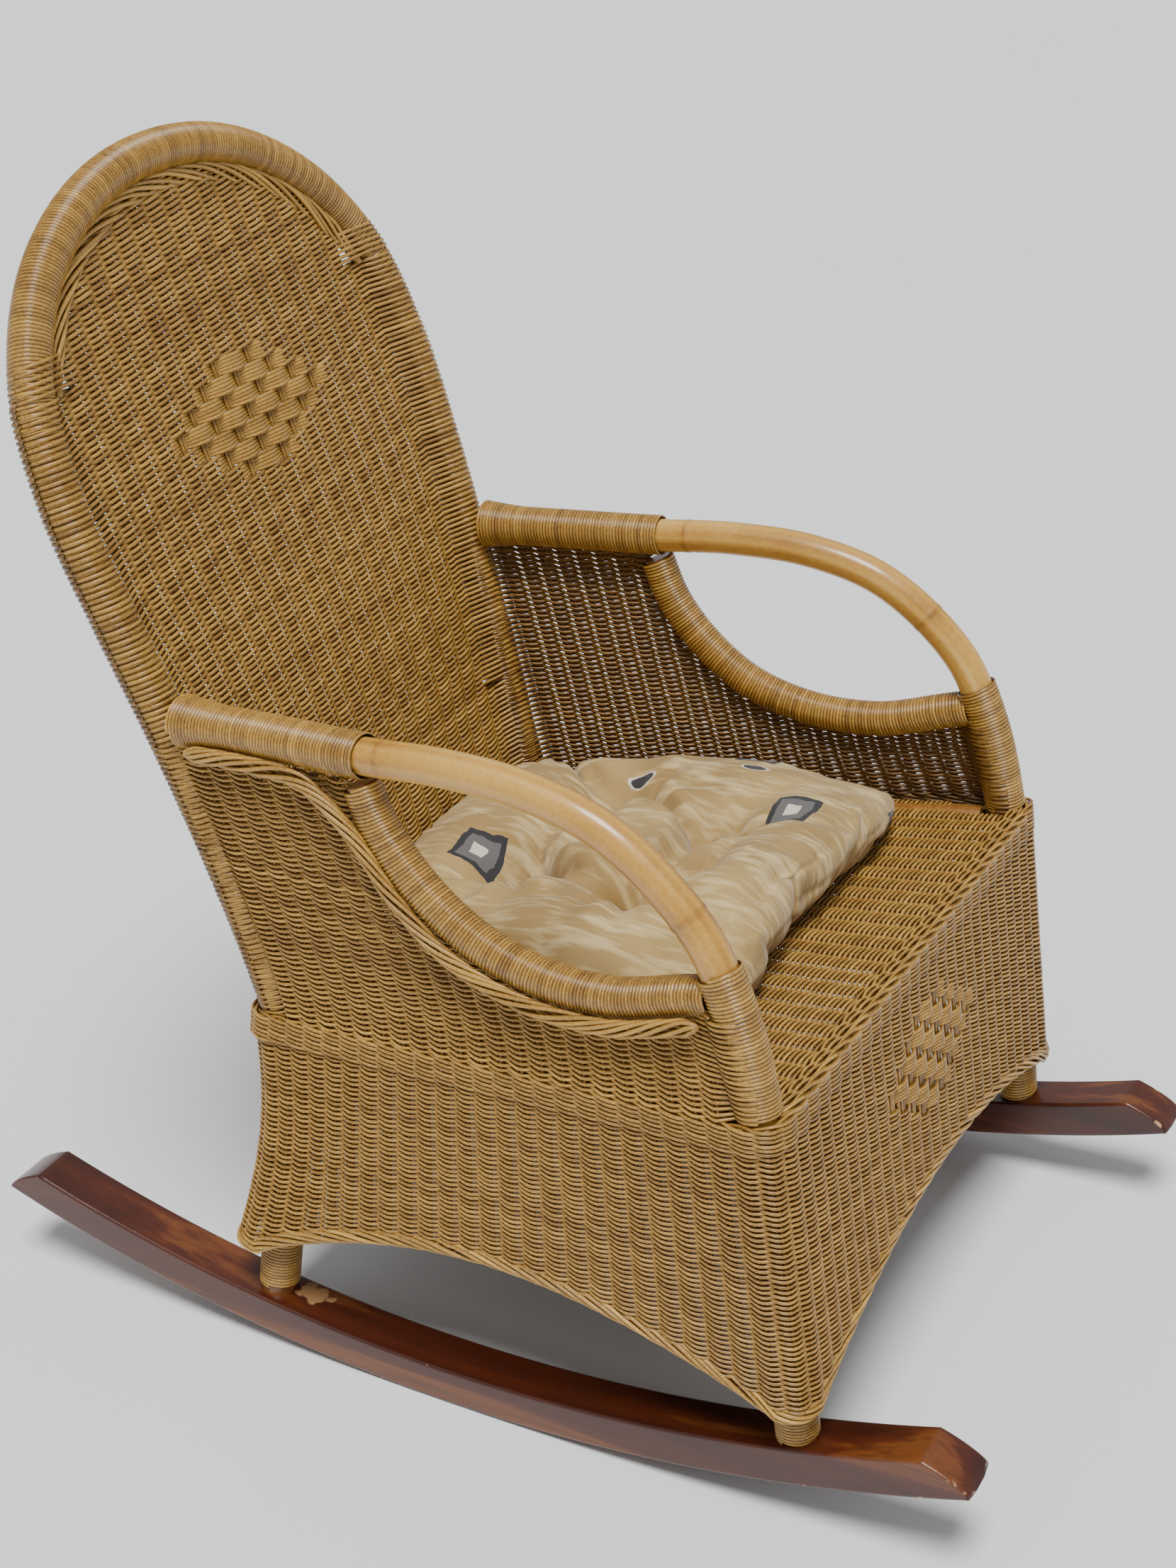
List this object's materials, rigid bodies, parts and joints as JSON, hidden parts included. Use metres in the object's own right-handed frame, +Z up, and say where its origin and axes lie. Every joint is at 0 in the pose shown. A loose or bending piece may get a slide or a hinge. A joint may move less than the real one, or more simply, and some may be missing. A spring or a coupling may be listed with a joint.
{
  "type": "wicker rocking chair",
  "caption": "Wicker rocking chair: wrapped arched back frame, looping arms, woven seat, back and skirt, curved wooden rockers and a loose cushion.",
  "frame": {"origin": "on the floor, at the centre of the bounding box, close under the line where the two rockers touch the floor", "axes": "+Z up, +Y to the chair's back, -Y the way the sitter faces, +X to the sitter's left"},
  "size_m": [0.57, 0.9058, 0.9607],
  "materials": {
    "rattan_pole": "gloss",
    "wrap_strand": "satin",
    "woven_strand": "satin",
    "stained_hardwood": "satin",
    "cushion_fabric": "matte"
  },
  "bodies": {
    "chair": {"arm_pole_left": "rattan_pole", "arm_pole_right": "rattan_pole", "arm_wrap_left": "wrap_strand", "arm_wrap_right": "wrap_strand", "back_braid": "woven_strand", "back_frame": "rattan_pole", "back_frame_wrap": "wrap_strand", "back_panel": "woven_strand", "front_border": "woven_strand", "front_leg_wrap_left": "wrap_strand", "front_leg_wrap_right": "wrap_strand", "front_roll": "woven_strand", "front_skirt": "woven_strand", "lower_rail_left": "rattan_pole", "lower_rail_right": "rattan_pole", "lower_rail_wrap_left": "wrap_strand", "lower_rail_wrap_right": "wrap_strand", "post_wrap_left": "wrap_strand", "post_wrap_right": "wrap_strand", "rear_border": "woven_strand", "rear_leg_wrap_left": "wrap_strand", "rear_leg_wrap_right": "wrap_strand", "rear_skirt": "woven_strand", "rocker_left": "stained_hardwood", "rocker_right": "stained_hardwood", "seat_band_left": "woven_strand", "seat_band_right": "woven_strand", "seat_front_rail": "rattan_pole", "seat_panel": "woven_strand", "seat_rear_rail": "rattan_pole", "seat_side_rail_left": "rattan_pole", "seat_side_rail_right": "rattan_pole", "side_border_left": "woven_strand", "side_border_right": "woven_strand", "side_braid_left": "woven_strand", "side_braid_right": "woven_strand", "side_panel_left": "woven_strand", "side_panel_right": "woven_strand", "side_skirt_left": "woven_strand", "side_skirt_right": "woven_strand"},
    "cushion": {"cushion": "cushion_fabric"}
  },
  "joints": [
    {"name": "cushion_lift", "type": "slide", "parent": "chair", "child": "cushion", "axis": [0, 0, 1], "range_m": [0, 0.25]}
  ]
}
